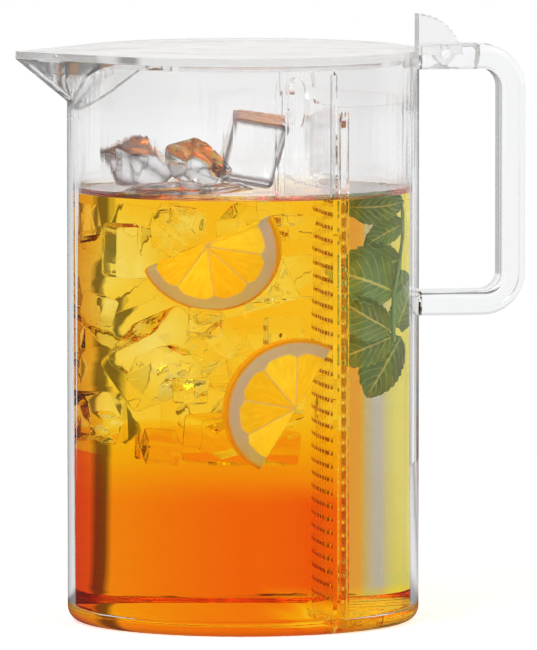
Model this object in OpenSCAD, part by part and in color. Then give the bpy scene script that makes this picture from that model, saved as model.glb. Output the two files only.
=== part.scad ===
// Lidded drinks jug with a slotted infuser basket, a spout guard and a hinged lid.
// Millimetres. The origin is on the jug axis at the underside, Z is up,
// the handle is on the +X side and the spout on the -X side.

/* [Jug] */
// Outside diameter of the jug wall
jug_diameter = 145; // [125:1:170]
// Height of the rim above the table
jug_height = 233; // [205:1:270]
// Thickness of the jug wall
jug_wall = 2.8; // [2:0.1:4]
// Thickness of the jug floor
jug_floor = 4; // [3:0.5:7]
// Outside corner radius at the base
base_radius = 6; // [4:0.5:10]
// Inside corner radius at the floor
floor_radius = 4; // [2:0.5:5]

/* [Spout] */
// How far the tip reaches past the wall
spout_reach = 22.3; // [16:0.1:28]
// How far the spout runs down from the rim
spout_depth = 18.5; // [14:0.5:24]

/* [Ice guard] */
// Thickness of the guard plate
guard_thickness = 2; // [1.5:0.1:3]
// Gap between the guard and the jug wall
guard_gap = 0.5; // [0.3:0.1:1]
// Half angle of the guard at the rim
guard_half_angle = 46; // [43:0.5:54]
// Depth of the guard below its top edge
guard_depth = 21.3; // [19:0.1:28]
// Slots on each side of the middle
guard_slots = 4; // [2:1:5]
// Angle between neighbouring slots
guard_slot_pitch = 7.2; // [6:0.1:8]
// Width of one slot
guard_slot_width = 3.5; // [2:0.1:5]
// Depth of the slots at the middle of the guard
guard_slot_drop = 17; // [15:0.1:18]
// How much shorter each slot is than the one before
guard_slot_step = 3.2; // [2:0.1:3.2]
// Height of the solid bar above the slots
guard_bar = 2; // [1.5:0.1:3]
// Width of the hook that hangs on the rim
ear_width = 6; // [4:0.5:9]
// Thickness of the hook
ear_thickness = 1.5; // [1:0.1:2.5]
// How far the hook reaches over the wall
ear_reach = 1.4; // [0.8:0.1:1.8]
// Angle of the hook from the spout
ear_angle = 50; // [49:0.5:60]

/* [Lid] */
// Thickness of the lid plate
lid_thickness = 3; // [2:0.1:5]
// Depth of the skirt inside the jug
skirt_depth = 2.5; // [1.5:0.1:3.5]
// Thickness of the skirt
skirt_wall = 2.2; // [1.5:0.1:4]

/* [Hinge] */
// Distance of the pin from the jug wall
hinge_offset = 11; // [9.5:0.1:13]
// Height of the pin above the rim
hinge_rise = 0.5; // [0.2:0.1:1]
// Diameter of the pin
pin_diameter = 4; // [3:0.1:4.4]
// Wall of the lid knuckle around the pin
knuckle_wall = 2.2; // [1.5:0.1:2.8]
// Width of the lid knuckle and the thumb lever
knuckle_width = 10; // [7:0.1:11]
// Largest opening angle of the lid
lid_open = 80; // [60:1:85]

/* [Thumb lever] */
// Radius of the quarter round lever
lever_radius = 18.2; // [16:0.1:20]
// Depth of the lever centre below the rim
lever_drop = 1.5; // [0:0.1:3]
// Number of finger scallops
scallop_count = 8; // [5:1:9]
// Radius of one scallop
scallop_radius = 1.4; // [0.8:0.1:1.6]

/* [Handle] */
// Width of the handle along Y
handle_width = 18; // [16:0.5:24]
// Thickness of the handle bar
handle_thickness = 10.2; // [9.5:0.1:13]
// Reach of the handle past the jug wall
handle_reach = 44.7; // [41:0.1:60]
// Height of the handle from top to bottom
handle_height = 112; // [95:0.5:150]
// Rise of the handle top above the rim
handle_rise = 4.2; // [3.8:0.1:5]
// Outside corner radius of the handle
handle_corner = 18; // [15:0.5:24]
// Edge radius of the handle bar
handle_edge = 3; // [1.5:0.1:4.5]
// Height of the flat seat on the jug wall
seat_rise = 0.9; // [0.6:0.1:2]

/* [Infuser shell] */
// Thickness of the rear wall and the floor
shell_wall = 1.8; // [1.4:0.1:3]
// Height of the basket rim above the jug floor
shell_height = 211.5; // [180:0.5:214]
// Outside corner radius at the basket floor
shell_corner = 5; // [5:0.5:9]
// Gap between the basket and the jug wall
shell_gap = 0.5; // [0.4:0.1:1.5]
// Thickness of the lips that hold the screen
post_lip = 1.6; // [1.2:0.1:3]
// Length of the corner posts along the screen
post_length = 7; // [6:0.1:10]
// Depth of the groove for the screen edge
groove_depth = 4; // [2.5:0.1:5]
// Number of drain slots in the floor
drain_count = 7; // [3:1:9]
// Width of a drain slot
drain_width = 2.4; // [1.5:0.1:4]

/* [Infuser screen] */
// Distance of the screen from the jug axis
screen_setback = 22; // [16:0.5:30]
// Bow radius of the screen
screen_radius = 260; // [180:5:400]
// Thickness of the screen
screen_thickness = 2; // [1.5:0.1:3]
// Rows of slots
screen_rows = 32; // [20:1:33]
// Height between rows
row_pitch = 5.45; // [5:0.05:6]
// Slots in a row
screen_columns = 9; // [5:1:9]
// Width of a slot
slot_width = 9.2; // [6:0.1:10]
// Height of a slot
slot_height = 1.6; // [1:0.1:2.4]
// Bridge between two slots
slot_bridge = 2.8; // [2:0.1:3.5]
// Lowest row above the basket floor
first_row = 7; // [5:0.5:12]
// Width of the grip tab
tab_width = 54; // [46:1:70]
// Rise of the grip tab above the basket rim
tab_rise = 12.5; // [10:0.5:13]
// Shoulder and corner radius of the grip tab
tab_radius = 5; // [2:0.5:6]
// Width of the finger hole
grip_width = 36; // [26:1:40]
// Height of the finger hole
grip_height = 19.5; // [14:0.5:20]
// Bar left above the finger hole
grip_bar = 4.5; // [3.5:0.5:8]

/* [Guide ribs] */
// Width of a guide rib
rib_width = 2; // [1.5:0.1:3]
// Height of a guide rib from the wall
rib_height = 2.2; // [1.5:0.1:3]
// Distance of the rib top below the rim
rib_drop = 4; // [3.5:0.5:20]

/* [Hidden] */
$fn = 96;
// Named clearances
pin_clearance = 0.05;
side_clearance = 0.3;
sweep_clearance = 0.6;
groove_clearance = 0.15;
ear_clearance = 0.3;
guard_relief = 0.2;
skirt_clearance = 1.2;
rib_clearance = 1.3;
spout_bite = 0.15;
grip_flat = 0.02;
// Angle that the scallops cover, and the place of the first as a share of their pitch
scallop_sweep = 66;
scallop_start = 0.7;
far = 400;
cut = 1;
// Jug values
jug_r = jug_diameter / 2;
bore_r = jug_r - jug_wall;
// Spout walls are flat planes that lean out and meet in the tip edge
spout_tip = jug_r + spout_reach;
spout_plane = jug_r - spout_bite;
spout_half = asin(spout_plane / spout_tip);
spout_turn = 90 - spout_half;
spout_lean = atan((spout_plane - jug_r * sin(spout_half)) / spout_depth);
spout_side = bore_r * sin(spout_turn) - cut;
// The box that holds the wedge runs past its lower end and stops short of the jug axis
spout_run = spout_depth + spout_reach / 3;
spout_root = jug_r / 4;
// Guard values
guard_outer = bore_r - guard_gap;
guard_inner = guard_outer - guard_thickness;
guard_top = jug_height - guard_relief;
guard_edge_x = guard_outer * cos(guard_half_angle);
guard_end = ear_angle + asin(ear_width / guard_inner);
guard_slope = atan((guard_outer - guard_edge_x) / guard_depth);
// Lid and hinge values
skirt_r = guard_inner - skirt_clearance;
hinge_x = jug_r + hinge_offset;
hinge_z = jug_height + hinge_rise;
pin_r = pin_diameter / 2;
knuckle_r = pin_r + knuckle_wall;
lever_x = jug_r + side_clearance;
lever_z = jug_height - lever_drop;
scallop_ring = lever_radius + scallop_radius / 2;
slot_gap = knuckle_width + 2 * side_clearance;
// Handle values
handle_top = jug_height + handle_rise;
handle_out = jug_r + handle_reach;
handle_low = handle_top - handle_height;
seat_x = jug_r + seat_rise;
bend_r = handle_corner - handle_thickness / 2;
bend_x = handle_out - handle_corner;
upper_z = handle_top - handle_thickness / 2;
lower_z = handle_low + handle_thickness / 2;
cheek_r = hinge_offset - sweep_clearance;
// The hinge pocket clears whatever part of the lever dips below the handle top
lever_arc = [for (a = [0:1:90]) [lever_x - hinge_x + lever_radius * sin(a),
                                 lever_z - hinge_z + lever_radius * cos(a)]];
lever_low = [for (p = lever_arc)
             if (p[1] * cos(lid_open) - p[0] * sin(lid_open) < handle_top - hinge_z + sweep_clearance)
             norm(p)];
pocket_r = max(lever_low) + sweep_clearance;
// Infuser values
shell_r = bore_r - shell_gap;
shell_top = jug_floor + shell_height;
shell_base = jug_floor + shell_wall;
screen_x = screen_setback + screen_radius;
screen_back = screen_radius - screen_thickness;
post_front = screen_radius + post_lip;
post_back = screen_back - post_lip;
corner_x = (pow(screen_x, 2) - pow(post_front, 2) + pow(shell_r, 2)) / (2 * screen_x);
corner_y = sqrt(pow(shell_r, 2) - pow(corner_x, 2));
post_y = corner_y - post_length;
groove_y = post_y + groove_depth;
screen_half = groove_y - groove_clearance;
tab_top = shell_top + tab_rise;
grip_z = tab_top - grip_bar - grip_height / 2;
field_top = shell_base + first_row + screen_rows * row_pitch;
column_pitch = slot_width + slot_bridge;
drain_pitch = 2 * post_y / (drain_count + 1);
rib_angle = atan2(corner_y, corner_x) + asin((rib_width / 2 + rib_clearance) / bore_r);

// Half profile of a round vessel with a rounded bottom corner
module vessel_profile(r, low, high, corner) {
    translate([0, low]) square([r - corner, high - low]);
    translate([0, low + corner]) square([r, high - low - corner]);
    translate([r - corner, low + corner]) circle(corner);
}

// Rounded rectangle centred on the origin
module rounded(size, radius) {
    square([size[0] - 2 * radius, size[1]], center = true);
    square([size[0], size[1] - 2 * radius], center = true);
    for (x = [-1, 1], y = [-1, 1])
        translate([x * (size[0] / 2 - radius), y * (size[1] / 2 - radius)]) circle(radius);
}

// Everything on the inner side of one leaning spout plane
module spout_side_space(r, side) {
    rotate([0, 0, 180 + side * spout_turn])
        translate([r - spout_bite, 0, jug_height])
            rotate([0, spout_lean, 0])
                translate([-far, -far / 2, -far / 2]) cube([far, far, far]);
}

// Wedge of the spout for a vessel of radius r
module spout_wedge(r, top) {
    intersection() {
        spout_side_space(r, 1);
        spout_side_space(r, -1);
        translate([-spout_tip - cut, spout_side, jug_height + top]) rotate([180, 0, 0])
            cube([spout_tip - spout_root, 2 * spout_side, spout_run + top]);
    }
}

// Flat seat on the wall where one end of the handle bears
module handle_seat(z) {
    translate([bore_r + jug_wall / 4, 0, z]) rotate([90, 0, 90])
        linear_extrude(seat_x - bore_r - jug_wall / 4)
            rounded([handle_width, handle_thickness], handle_edge);
}

module jug_body() {
    color([0.86, 0.9, 0.92, 0.35]) {
        difference() {
            union() {
                rotate_extrude() vessel_profile(jug_r, 0, jug_height, base_radius);
                spout_wedge(jug_r, 0);
                handle_seat(lower_z);
                intersection() {
                    handle_seat(upper_z);
                    cylinder(r = far, h = jug_height);
                }
            }
            rotate_extrude() vessel_profile(bore_r, jug_floor, jug_height + cut, floor_radius);
            spout_wedge(bore_r, cut);
            for (side = [-1, 1])
                rotate([0, 0, 180 + side * ear_angle])
                    translate([guard_inner, -ear_width / 2 - ear_clearance, guard_top - ear_thickness])
                        cube([bore_r + ear_reach + ear_clearance - guard_inner,
                              ear_width + 2 * ear_clearance, ear_thickness + cut]);
        }
        for (side = [-1, 1])
            rotate([0, 0, side * rib_angle])
                translate([bore_r - rib_height, -rib_width / 2, jug_floor - cut])
                    cube([rib_height + jug_wall / 2, rib_width, jug_height - rib_drop - jug_floor + cut]);
    }
}

module handle_section() {
    rounded([handle_thickness, handle_width], handle_edge);
}

module handle_bar(z) {
    translate([seat_x, 0, z]) rotate([0, 90, 0]) linear_extrude(bend_x - seat_x) handle_section();
}

module handle_bend(z, turn) {
    translate([bend_x, 0, z]) rotate([90, 0, 0]) rotate([0, 0, turn])
        rotate_extrude(angle = 90) translate([bend_r, 0]) handle_section();
}

module hinge_rod(r, width) {
    translate([hinge_x, width / 2, hinge_z]) rotate([90, 0, 0]) cylinder(r = r, h = width);
}

module handle() {
    color([0.8, 0.84, 0.87, 0.5])
        difference() {
            union() {
                handle_bar(upper_z);
                handle_bar(lower_z);
                handle_bend(handle_top - handle_corner, 0);
                handle_bend(handle_low + handle_corner, -90);
                translate([handle_out - handle_thickness / 2, 0, handle_low + handle_corner])
                    linear_extrude(handle_height - 2 * handle_corner) handle_section();
            }
            translate([seat_x - cut, -slot_gap / 2, upper_z - handle_thickness])
                cube([hinge_x - seat_x + cut, slot_gap, 2 * handle_thickness]);
            hinge_rod(pocket_r, slot_gap);
            hinge_rod(pin_r + pin_clearance, handle_width + 2 * cut);
            difference() {
                translate([seat_x - cut, -handle_width, jug_height])
                    cube([hinge_x - seat_x + cut, 2 * handle_width, 2 * handle_rise]);
                hinge_rod(cheek_r, 3 * handle_width);
            }
        }
}

// Ring close to the jug wall that the guard is cut from
module guard_ring() {
    translate([0, 0, guard_top - guard_depth - cut])
        difference() {
            cylinder(r = guard_outer, h = guard_depth + cut);
            translate([0, 0, -cut]) cylinder(r = guard_inner, h = guard_depth + 3 * cut);
        }
}

// Plan of a sector around the spout axis
module spout_sector(half) {
    polygon([[0, 0], [-far * cos(half), -far * sin(half)], [-far, -far * sin(half)],
             [-far, far * sin(half)], [-far * cos(half), far * sin(half)]]);
}

module ice_guard() {
    color([0.86, 0.9, 0.92, 0.4])
        difference() {
            union() {
                intersection() {
                    guard_ring();
                    union() {
                        translate([-guard_edge_x, 0, guard_top]) rotate([0, guard_slope, 0])
                            translate([-far, -far / 2, -far / 2]) cube([far, far, far]);
                        translate([0, 0, guard_top - guard_bar])
                            linear_extrude(guard_bar + cut) spout_sector(guard_end);
                    }
                }
                for (side = [-1, 1])
                    rotate([0, 0, 180 + side * ear_angle])
                        translate([guard_inner + guard_thickness / 4, -ear_width / 2, guard_top - ear_thickness])
                            cube([bore_r + ear_reach - guard_inner - guard_thickness / 4, ear_width, ear_thickness]);
            }
            for (side = [-1, 1], i = [0:guard_slots - 1])
                let (turn = (i + 0.5) * guard_slot_pitch,
                     drop = guard_slot_drop - (i + 0.5) * guard_slot_step)
                rotate([0, 0, 180 + side * turn])
                    translate([guard_inner - cut, -guard_slot_width / 2, guard_top - drop])
                        cube([guard_thickness + 2 * cut, guard_slot_width, drop - guard_bar]);
        }
}

module hinge_pin() {
    color([0.75, 0.77, 0.8])
        hinge_rod(pin_r, handle_width - 2 * side_clearance);
}

// Side view of the lid's tongue, knuckle and scalloped thumb lever
module lever_profile() {
    difference() {
        union() {
            translate([jug_r - 2 * jug_wall, jug_height])
                square([hinge_offset + 2 * jug_wall, lid_thickness]);
            translate([hinge_x, hinge_z]) circle(knuckle_r);
            intersection() {
                translate([lever_x, lever_z]) circle(lever_radius);
                translate([lever_x, jug_height]) square(2 * lever_radius);
            }
        }
        translate([hinge_x, hinge_z]) circle(pin_r + pin_clearance);
        for (i = [0:scallop_count - 1])
            let (turn = (i + scallop_start) * scallop_sweep / scallop_count)
            translate([lever_x + scallop_ring * sin(turn), lever_z + scallop_ring * cos(turn)])
                circle(scallop_radius);
    }
}

module lid() {
    color([0.85, 0.88, 0.9, 0.5]) {
        translate([0, 0, jug_height]) linear_extrude(lid_thickness) {
            circle(jug_r);
            intersection() {
                polygon([[-spout_tip, 0],
                         [0, -spout_tip * tan(spout_half)],
                         [0, spout_tip * tan(spout_half)]]);
                translate([-spout_tip - cut, -spout_side]) square([spout_tip + cut, 2 * spout_side]);
            }
        }
        translate([0, 0, jug_height - skirt_depth]) linear_extrude(skirt_depth + cut)
            difference() {
                circle(skirt_r);
                circle(skirt_r - skirt_wall);
            }
        translate([0, knuckle_width / 2, 0]) rotate([90, 0, 0])
            linear_extrude(knuckle_width) lever_profile();
    }
}

// Lens shaped plan of the basket
module basket_plan() {
    intersection() {
        circle(shell_r);
        translate([screen_x, 0]) circle(post_front);
    }
}

// Corner posts on both sides of the screen
module post_plan() {
    difference() {
        basket_plan();
        translate([screen_x, 0]) circle(post_back);
        translate([-far / 2, -post_y]) square([far, 2 * post_y]);
    }
}

// Groove in the posts and the wall for the edge of the screen
module groove_plan() {
    intersection() {
        translate([screen_x, 0])
            difference() {
                circle(screen_radius + groove_clearance);
                circle(screen_back - groove_clearance);
            }
        translate([-far / 2, -groove_y]) square([far, 2 * groove_y]);
    }
}

module infuser_shell() {
    color([0.84, 0.88, 0.9, 0.45])
        difference() {
            intersection() {
                rotate_extrude() vessel_profile(shell_r, jug_floor, shell_top, shell_corner);
                union() {
                    translate([0, 0, jug_floor]) linear_extrude(shell_height) {
                        difference() {
                            basket_plan();
                            circle(shell_r - shell_wall);
                        }
                        post_plan();
                    }
                    translate([0, 0, jug_floor]) linear_extrude(shell_wall) basket_plan();
                }
            }
            translate([0, 0, shell_base]) linear_extrude(shell_height) groove_plan();
            for (i = [0:drain_count - 1])
                let (y = (i + 1) * drain_pitch - post_y,
                     x = screen_setback + pow(y, 2) / (2 * screen_radius) + 2 * screen_thickness + post_lip)
                translate([x, y - drain_width / 2, jug_floor - cut])
                    cube([max(cut, sqrt(pow(shell_r, 2) - pow(y, 2)) - shell_corner - 2 * shell_wall - x),
                          drain_width, shell_wall + 2 * cut]);
        }
}

// Slotted field of the screen: one outline with every slot as a further path
module slot_field() {
    left = -(screen_columns - 1) / 2 * column_pitch;
    frame = [[-screen_half, shell_base], [screen_half, shell_base],
             [screen_half, field_top], [-screen_half, field_top]];
    corners = [[-1, -1], [1, -1], [1, 1], [-1, 1]];
    slots = [for (r = [0:screen_rows - 1], c = [0:screen_columns - 1], k = corners)
             [left + c * column_pitch + k[0] * slot_width / 2,
              shell_base + first_row + r * row_pitch + k[1] * slot_height / 2]];
    loops = [for (i = [0:screen_rows * screen_columns]) [4 * i, 4 * i + 1, 4 * i + 2, 4 * i + 3]];
    polygon(concat(frame, slots), loops);
}

// Upper part of the screen with the grip tab and the finger hole
module grip_field() {
    difference() {
        union() {
            translate([-screen_half, field_top]) square([2 * screen_half, shell_top - field_top]);
            translate([0, (field_top + tab_top) / 2]) rounded([tab_width, tab_top - field_top], tab_radius);
            translate([-tab_width / 2 - tab_radius, shell_top - cut])
                square([tab_width + 2 * tab_radius, tab_radius + cut]);
        }
        for (side = [-1, 1])
            translate([side * (tab_width / 2 + tab_radius), shell_top + tab_radius]) circle(tab_radius);
        translate([0, grip_z]) rounded([grip_width, grip_height], (grip_height - grip_flat) / 2);
    }
}

module infuser_screen() {
    color([0.84, 0.88, 0.9, 0.45])
        intersection() {
            translate([screen_x, 0, 0])
                difference() {
                    cylinder(r = screen_radius, h = tab_top + cut);
                    translate([0, 0, -cut]) cylinder(r = screen_back, h = tab_top + 3 * cut);
                }
            translate([screen_setback - cut, 0, 0]) rotate([90, 0, 90])
                linear_extrude(jug_r - screen_setback) {
                    slot_field();
                    grip_field();
                }
        }
}

jug_body();
handle();
ice_guard();
hinge_pin();
lid();
infuser_shell();
infuser_screen();
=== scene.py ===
"""Dresses the packed iced tea pitcher: clear mouldings, tea, ice, lemon, mint and a white studio."""

import bisect
import logging
import math
import random
from collections.abc import Iterable, Sequence
from dataclasses import dataclass, field
from enum import Enum

import bmesh
import bpy
from bmesh.types import BMEdge, BMesh, BMFace, BMVert
from bpy.types import Material, Mesh, Node, NodeSocket, NodeTree, Object
from mathutils import Euler, Matrix, Vector


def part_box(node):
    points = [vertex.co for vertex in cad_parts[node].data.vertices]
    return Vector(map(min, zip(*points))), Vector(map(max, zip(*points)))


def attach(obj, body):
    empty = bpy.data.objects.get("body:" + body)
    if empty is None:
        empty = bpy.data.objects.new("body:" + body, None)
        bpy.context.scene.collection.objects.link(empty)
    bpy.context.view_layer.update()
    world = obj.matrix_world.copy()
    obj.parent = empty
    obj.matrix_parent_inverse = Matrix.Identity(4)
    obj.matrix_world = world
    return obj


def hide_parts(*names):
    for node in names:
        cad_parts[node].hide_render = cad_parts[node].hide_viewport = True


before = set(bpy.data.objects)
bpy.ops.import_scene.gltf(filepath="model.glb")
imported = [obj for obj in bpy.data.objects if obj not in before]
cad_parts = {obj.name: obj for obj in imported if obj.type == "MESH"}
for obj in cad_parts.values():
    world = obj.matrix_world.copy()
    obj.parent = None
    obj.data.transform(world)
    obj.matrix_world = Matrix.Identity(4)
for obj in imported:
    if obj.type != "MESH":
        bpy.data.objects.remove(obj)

LOG = logging.getLogger("pitcher")
MM = 0.001
FULL_TURN = 2 * math.pi
WHITE = (1.0, 1.0, 1.0, 1.0)
PLASTIC_IOR = 1.57
TEA_IOR = 1.333
WET_IOR = PLASTIC_IOR / TEA_IOR
SEAT_GAP_MM = 0.06
TEA_LEVEL_MM = 178.0
SCREEN_BOW_MM = 260.0
LEMON_RADIUS_MM = 28.5
LEMON_SEGMENTS = 4.6
EDGE_MARK = "edge"
HALF = 0.5
UPWARD = 0.5
MERGE_MM = 1e-3
SLIVER_MM = 1e-4
FLAT_DEG = 0.2
LEVEL_TOLERANCE_MM = 0.01
WALL_TOLERANCE_MM = 0.05
SNAP_TOLERANCE = 0.002
NORMAL_WEIGHT = 90
SHORTEST_AXIS = 1e-6


class Body(Enum):
    """Rigid bodies that a piece can ride on."""

    JUG = "jug"
    LID = "lid"
    INFUSER = "infuser"


class Sharp(Enum):
    """Turns in degrees above which the edges of a kind of piece stay sharp."""

    MOULDING = 14.0
    PLAIN = 35.0
    FRUIT = 40.0
    ICE = 50.0
    LEAF = 60.0


def linear(code: str) -> tuple[float, float, float, float]:
    """Turns an sRGB hex colour into a linear one.

    Args:
        code: Six hex digits.

    Returns:
        Linear red, green, blue and an alpha of one.
    """
    channels = [int(code[i : i + 2], 16) / 255 for i in (0, 2, 4)]
    lin = [c / 12.92 if c <= 0.04045 else ((c + 0.055) / 1.055) ** 2.4 for c in channels]
    return (lin[0], lin[1], lin[2], 1.0)


def pattern_scale(size_mm: float) -> float:
    """Scale of a pattern whose patches have a width in millimetres."""
    return 1 / (size_mm * MM)


def span(start: float, end: float, low: float = 0.0, high: float = 1.0) -> dict[str, float]:
    """Inputs that map a range of values to another one."""
    return {"From Min": start, "From Max": end, "To Min": low, "To Max": high}


def add(
    tree: NodeTree,
    kind: str,
    inputs: dict[str | int, object] | None = None,
    stops: Sequence[tuple[float, float]] = (),
    **settings: str | bool,
) -> Node:
    """Adds one node with its settings, values and links.

    Args:
        tree: Node tree that gets the node.
        kind: Blender's name of the node type, without the ShaderNode prefix.
        inputs: Socket name or number to a value, or to the node or output socket that feeds it.
        stops: Place and grey level of each stop of a ramp.
        settings: Properties of the node itself.

    Returns:
        The new node.
    """
    node = tree.nodes.new("ShaderNode" + kind)
    for name, value in settings.items():
        setattr(node, name, value)
    for key, value in (inputs or {}).items():
        if isinstance(value, Node):
            value = value.outputs[0]
        if isinstance(value, NodeSocket):
            tree.links.new(value, node.inputs[key])
        else:
            node.inputs[key].default_value = value
    if stops:
        elements = node.color_ramp.elements
        while len(elements) < len(stops):
            elements.new(1.0)
        for element, (place, level) in zip(elements, stops):
            element.position = place
            element.color = (level, level, level, 1.0)
    return node


def new_material(name: str) -> tuple[Material, NodeTree]:
    """Makes an empty node material.

    Args:
        name: Name of the material.

    Returns:
        The material and its node tree.
    """
    material = bpy.data.materials.new(name)
    material.use_nodes = True
    material.node_tree.nodes.clear()
    return material, material.node_tree


def wetted_face(tree: NodeTree, ior: float) -> Node:
    """Face where a liquid wets a wall: it bends light and mirrors it only past the critical angle.

    Args:
        tree: Node tree that gets the nodes.
        ior: Index of the clear thing.

    Returns:
        Node with the shader.
    """
    clear = {"Color": WHITE, "Roughness": 0.0, "IOR": ior}
    bend = add(tree, "BsdfRefraction", clear)
    full = add(tree, "BsdfGlass", clear)
    mirror = add(tree, "Fresnel", {"IOR": ior})
    past = add(tree, "Math", {0: mirror, 1: HALF}, operation="GREATER_THAN")
    return add(tree, "MixShader", {"Fac": past, 1: bend, 2: full})


@dataclass(frozen=True)
class ClearPlastic:
    """Injection moulded styrene acrylonitrile: water clear, hard gloss, greyer where it is thick."""

    name: str
    ior: float = PLASTIC_IOR
    roughness: float = 0.0
    absorb: float = 6.0
    tint: str = "CDD6D8"
    flow_mm: float = 24.0
    flow_strength: float = 0.03
    frost_from_mm: float | None = None
    frost: float = 0.3
    wetted: str | None = None
    sunk: str = "sunk"
    haze: float = 0.0
    haze_from_mm: float = 0.0
    haze_rise_mm: float = 8.0

    def material(self) -> Material:
        """Builds the node material.

        Returns:
            The material.
        """
        material, tree = new_material(self.name)
        place = add(tree, "TexCoord").outputs["Object"]
        flow = add(tree, "TexNoise", {"Vector": place, "Scale": pattern_scale(self.flow_mm)})
        bump = add(tree, "Bump", {"Height": flow, "Strength": self.flow_strength, "Distance": MM})
        rough = self.roughness
        if self.frost_from_mm is not None:
            across = add(tree, "SeparateXYZ", {"Vector": place}).outputs["X"]
            edge = {0: across, 1: self.frost_from_mm * MM}
            behind = add(tree, "Math", edge, operation="GREATER_THAN")
            frosted = span(0.0, 1.0, self.roughness, self.frost)
            rough = add(tree, "MapRange", {"Value": behind, **frosted})
        gloss = {"Base Color": WHITE, "IOR": self.ior, "Roughness": rough, "Normal": bump}
        surface = add(tree, "BsdfPrincipled", {**gloss, "Transmission Weight": 1.0})
        if self.haze > 0:
            low, high = self.haze_from_mm, self.haze_from_mm + self.haze_rise_mm
            rise = span(low * MM, high * MM, 0.0, self.haze)
            height = add(tree, "SeparateXYZ", {"Vector": place}).outputs["Z"]
            share = add(tree, "MapRange", {"Value": height, **rise})
            milk = add(tree, "BsdfTranslucent", {"Color": WHITE})
            surface = add(tree, "MixShader", {"Fac": share, 1: surface, 2: milk})
        if self.wetted is not None:
            clear = add(tree, "BsdfTransparent", {"Color": WHITE})
            for name, face in ((self.wetted, wetted_face(tree, self.ior)), (self.sunk, clear)):
                mark = add(tree, "Attribute", attribute_name=name).outputs["Fac"]
                surface = add(tree, "MixShader", {"Fac": mark, 1: surface, 2: face})
        result = {"Surface": surface}
        if self.absorb > 0:
            depth = {"Color": linear(self.tint), "Density": self.absorb}
            result["Volume"] = add(tree, "VolumeAbsorption", depth)
        add(tree, "OutputMaterial", result)
        return material


@dataclass(frozen=True)
class BlackTea:
    """Brewed black tea: clear, yellow where it is thin and red orange where it is deep.

    The absorption is per metre of red, green and blue light.
    """

    name: str = "black_tea"
    ior: float = TEA_IOR
    absorb: tuple[float, float, float] = (0.1, 4.8, 34.0)
    bare: str = "bare"
    wetted: str = "wetted"
    bed: str = "bed"

    def material(self) -> Material:
        """Builds the node material; bare faces only bound the volume, bed faces do so from below.

        Returns:
            The material.
        """
        material, tree = new_material(self.name)
        gloss = {"Base Color": WHITE, "IOR": self.ior, "Roughness": 0.0, "Transmission Weight": 1.0}
        surface = add(tree, "BsdfPrincipled", gloss)
        clear = add(tree, "BsdfTransparent", {"Color": WHITE})
        inside = add(tree, "NewGeometry").outputs["Backfacing"]
        for name, face, spared in (
            (self.wetted, wetted_face(tree, self.ior), 0.0),
            (self.bed, clear, inside),
            (self.bare, clear, 0.0),
        ):
            mark = add(tree, "Attribute", attribute_name=name).outputs["Fac"]
            share = add(tree, "Math", {0: mark, 1: spared}, operation="SUBTRACT", use_clamp=True)
            surface = add(tree, "MixShader", {"Fac": share, 1: surface, 2: face})
        density = max(self.absorb)
        red, green, blue = (1 - part / density for part in self.absorb)
        depth = {"Color": (red, green, blue, 1.0), "Density": density}
        volume = add(tree, "VolumeAbsorption", depth)
        add(tree, "OutputMaterial", {"Surface": surface, "Volume": volume})
        return material


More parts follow.
